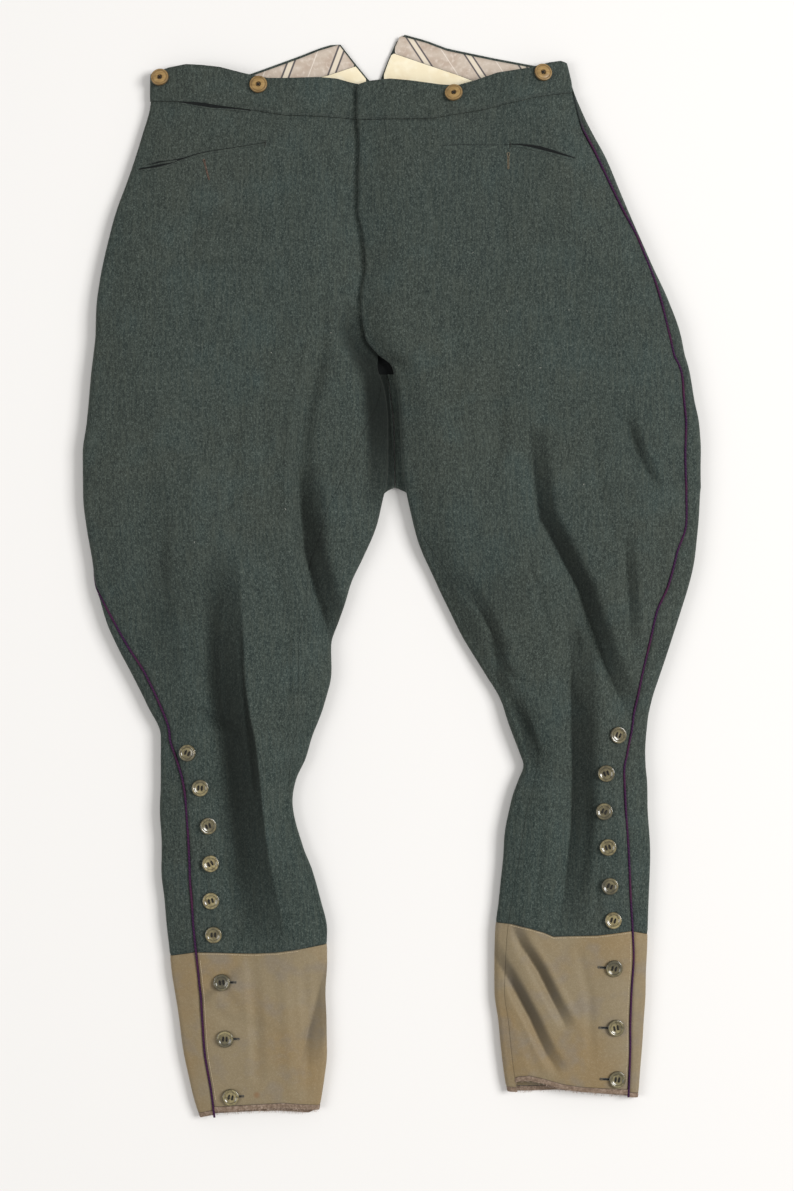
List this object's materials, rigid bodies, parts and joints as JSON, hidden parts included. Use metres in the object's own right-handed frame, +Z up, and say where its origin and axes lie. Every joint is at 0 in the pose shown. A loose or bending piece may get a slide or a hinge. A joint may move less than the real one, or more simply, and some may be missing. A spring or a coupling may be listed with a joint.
{
  "type": "riding breeches laid flat",
  "caption": "High-waisted riding breeches laid flat: full in the thigh, close on the calf, with buttoned calf openings, canvas lower legs and a raised fishtail back",
  "frame": {"origin": "middle of the garment's outline on the surface it lies on, at the height of its flat underside", "axes": "+Y from the hems to the waist, +X to the wearer's left, which is the right of the picture, +Z up from the surface, out of the front side"},
  "size_m": [0.6153, 1.0819, 0.0317],
  "materials": {
    "wool": "dark green-grey melange wool with a fine diagonal weave, matte",
    "canvas": "khaki cotton twill canvas, matte",
    "tape": "mauve-brown cotton tape with a frayed edge",
    "piping": "deep purple corded piping",
    "satin": "taupe satin lining with thin dark stripes, soft sheen",
    "cotton": "cream cotton lining, matte",
    "horn": "olive horn, polished",
    "nut": "tan vegetable-ivory nut, satin gloss"
  },
  "bodies": {
    "root": {"front_right": "wool", "front_left": "wool", "back_right": "wool", "back_left": "wool", "waistband_right": "wool", "waistband_left": "wool", "pocket_welt_right": "wool", "pocket_welt_left": "wool", "canvas_front_right": "canvas", "canvas_front_left": "canvas", "canvas_back_right": "canvas", "canvas_back_left": "canvas", "binding_front_right": "tape", "binding_front_left": "tape", "binding_back_right": "tape", "binding_back_left": "tape", "piping_right": "piping", "piping_left": "piping", "fishtail_satin_right": "satin", "fishtail_satin_left": "satin", "fishtail_cotton_right": "cotton", "fishtail_cotton_left": "cotton", "leg_button_right_1": "horn", "leg_button_right_2": "horn", "leg_button_right_3": "horn", "leg_button_right_4": "horn", "leg_button_right_5": "horn", "leg_button_right_6": "horn", "leg_button_right_7": "horn", "leg_button_right_8": "horn", "leg_button_right_9": "horn", "leg_button_left_1": "horn", "leg_button_left_2": "horn", "leg_button_left_3": "horn", "leg_button_left_4": "horn", "leg_button_left_5": "horn", "leg_button_left_6": "horn", "leg_button_left_7": "horn", "leg_button_left_8": "horn", "leg_button_left_9": "horn", "brace_button_right_1": "nut", "brace_button_right_2": "nut", "brace_button_left_1": "nut", "brace_button_left_2": "nut"}
  },
  "joints": []
}
